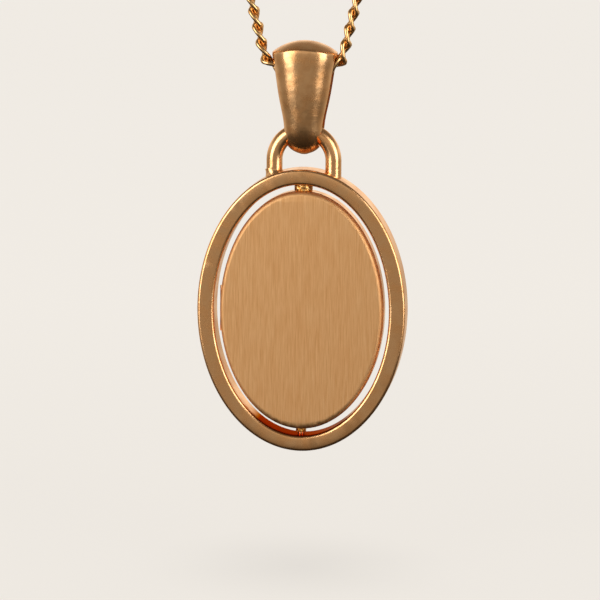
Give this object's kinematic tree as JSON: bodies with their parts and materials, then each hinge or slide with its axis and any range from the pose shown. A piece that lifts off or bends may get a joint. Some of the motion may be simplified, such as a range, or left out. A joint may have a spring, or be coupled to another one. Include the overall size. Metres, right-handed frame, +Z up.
{
  "type": "spinner locket",
  "caption": "Oval locket that turns on two pivots inside a polished oval frame, hung by a half ring in a tapered bail on a short closed run of twisted curb chain.",
  "frame": {"origin": "middle of the clasp, where the necklace hangs", "axes": "+Z up, the pendant hangs towards -Z, its front faces -Y"},
  "size_m": [0.021, 0.0054, 0.059],
  "materials": {
    "polished_gold": "polished",
    "brushed_gold": "brushed",
    "cast_gold": "cast, fire polished",
    "chain_gold": "polished",
    "clasp_gold": "polished",
    "steel": "drawn wire",
    "card": "matt",
    "clear_window": "clear"
  },
  "bodies": {
    "necklace": {"chain": "chain_gold", "left_end_ring": "chain_gold", "right_end_ring": "chain_gold", "clasp_body": "clasp_gold", "clasp_pivot_pin": "steel"},
    "lever": {"clasp_lever": "clasp_gold"},
    "bail": {"bail": "cast_gold"},
    "frame": {"outer_frame": "polished_gold", "frame_loop": "polished_gold", "upper_pivot_pin": "polished_gold", "lower_pivot_pin": "polished_gold"},
    "locket": {"back_cover": "polished_gold", "upper_pivot_collar": "cast_gold", "lower_pivot_collar": "cast_gold", "upper_hinge_knuckle": "polished_gold", "lower_hinge_knuckle": "polished_gold", "hinge_pin": "steel", "back_photo_card": "card", "back_photo_window": "clear_window", "back_photo_rim": "polished_gold"},
    "cover": {"front_cover": "brushed_gold", "cover_hinge_knuckle": "polished_gold", "latch_tongue": "polished_gold", "front_photo_card": "card", "front_photo_window": "clear_window", "front_photo_rim": "polished_gold"}
  },
  "joints": [
    {"name": "bail_swing", "type": "hinge", "parent": "necklace", "child": "bail", "pos_m": [0, 0, -0.01895], "axis": [1, 0, 0], "range_deg": [-30, 30]},
    {"name": "frame_swing", "type": "hinge", "parent": "bail", "child": "frame", "pos_m": [0, 0, -0.02525], "axis": [1, 0, 0], "range_deg": [-35, 35]},
    {"name": "locket_spin", "type": "hinge", "parent": "frame", "child": "locket", "pos_m": [0, 0, -0.04325], "axis": [0, 0, 1], "continuous": true},
    {"name": "cover_open", "type": "hinge", "parent": "locket", "child": "cover", "pos_m": [-0.00806, -0.00055, -0.04325], "axis": [0, 0, -1], "range_deg": [0, 60]},
    {"name": "clasp_lever_press", "type": "hinge", "parent": "necklace", "child": "lever", "pos_m": [-0.0001, 0, -0.00075], "axis": [0, -1, 0], "range_deg": [0, 22], "stiffness_Nm_per_rad": 0.00001, "springref_deg": -5.73}
  ]
}
